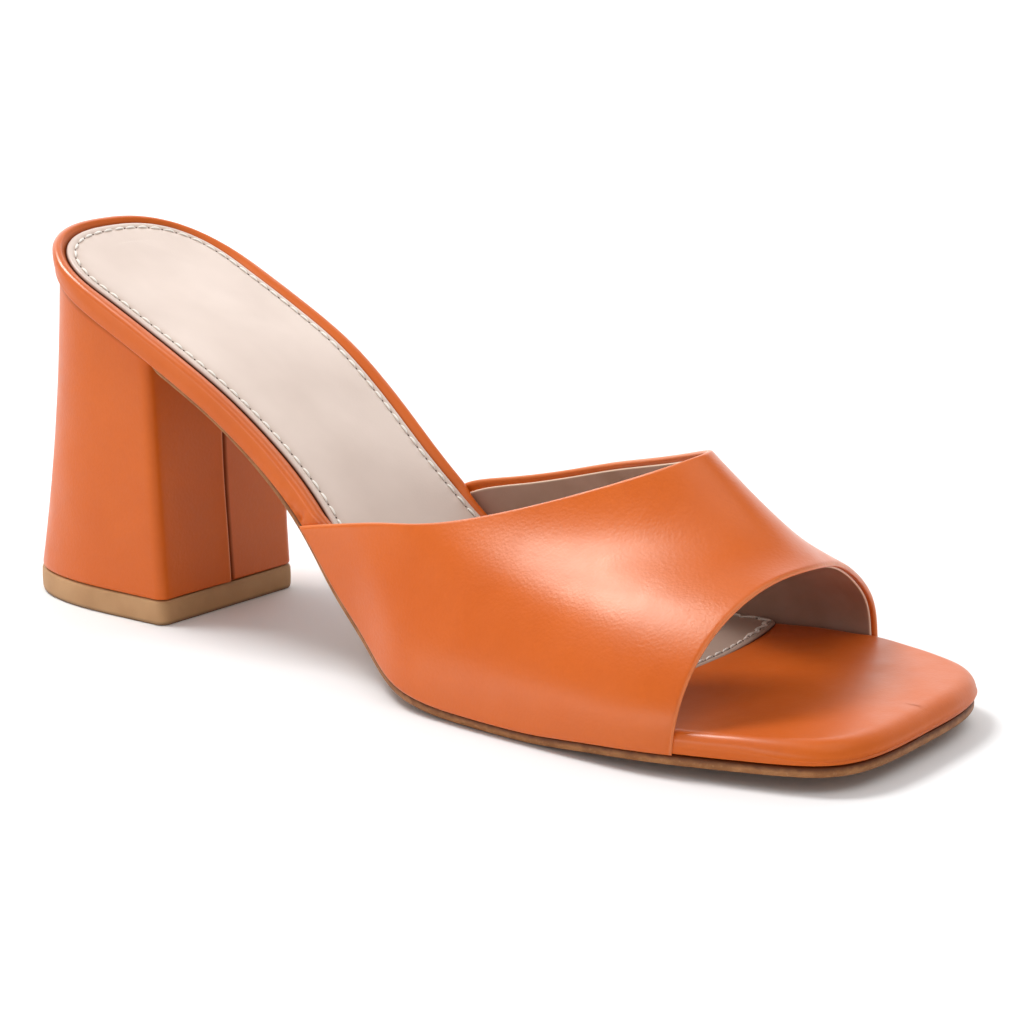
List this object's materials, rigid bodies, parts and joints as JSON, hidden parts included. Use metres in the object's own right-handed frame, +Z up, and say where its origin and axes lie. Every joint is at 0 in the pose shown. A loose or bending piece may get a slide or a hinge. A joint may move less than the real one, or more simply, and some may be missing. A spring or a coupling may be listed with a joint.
{
  "type": "block-heel mule sandal",
  "caption": "Women's left mule sandal with a covered block heel, a wide band over the foot, a square open toe and a padded sock.",
  "frame": {"origin": "middle of the heel's top lift, on the floor", "axes": "+X to the toe, +Y to the wearer's left (the outer side of this left shoe), +Z up"},
  "size_m": [0.2282, 0.0842, 0.0838],
  "materials": {
    "band_leather": "smooth satin orange with a fine grain",
    "footbed_leather": "smooth satin orange, wrapped over the board's edge",
    "sock_lining": "semi-gloss taupe lining with a stitched edge",
    "heel_leather": "smooth satin orange, one wrap with its seam on the breast",
    "lift_rubber": "matt tan rubber",
    "outsole_rubber": "matt brown-tan sole with a stained edge"
  },
  "bodies": {
    "root": {"upper": "band_leather", "footbed": "footbed_leather", "sock": "sock_lining", "heel": "heel_leather", "top_lift": "lift_rubber", "outsole": "outsole_rubber"}
  },
  "joints": []
}
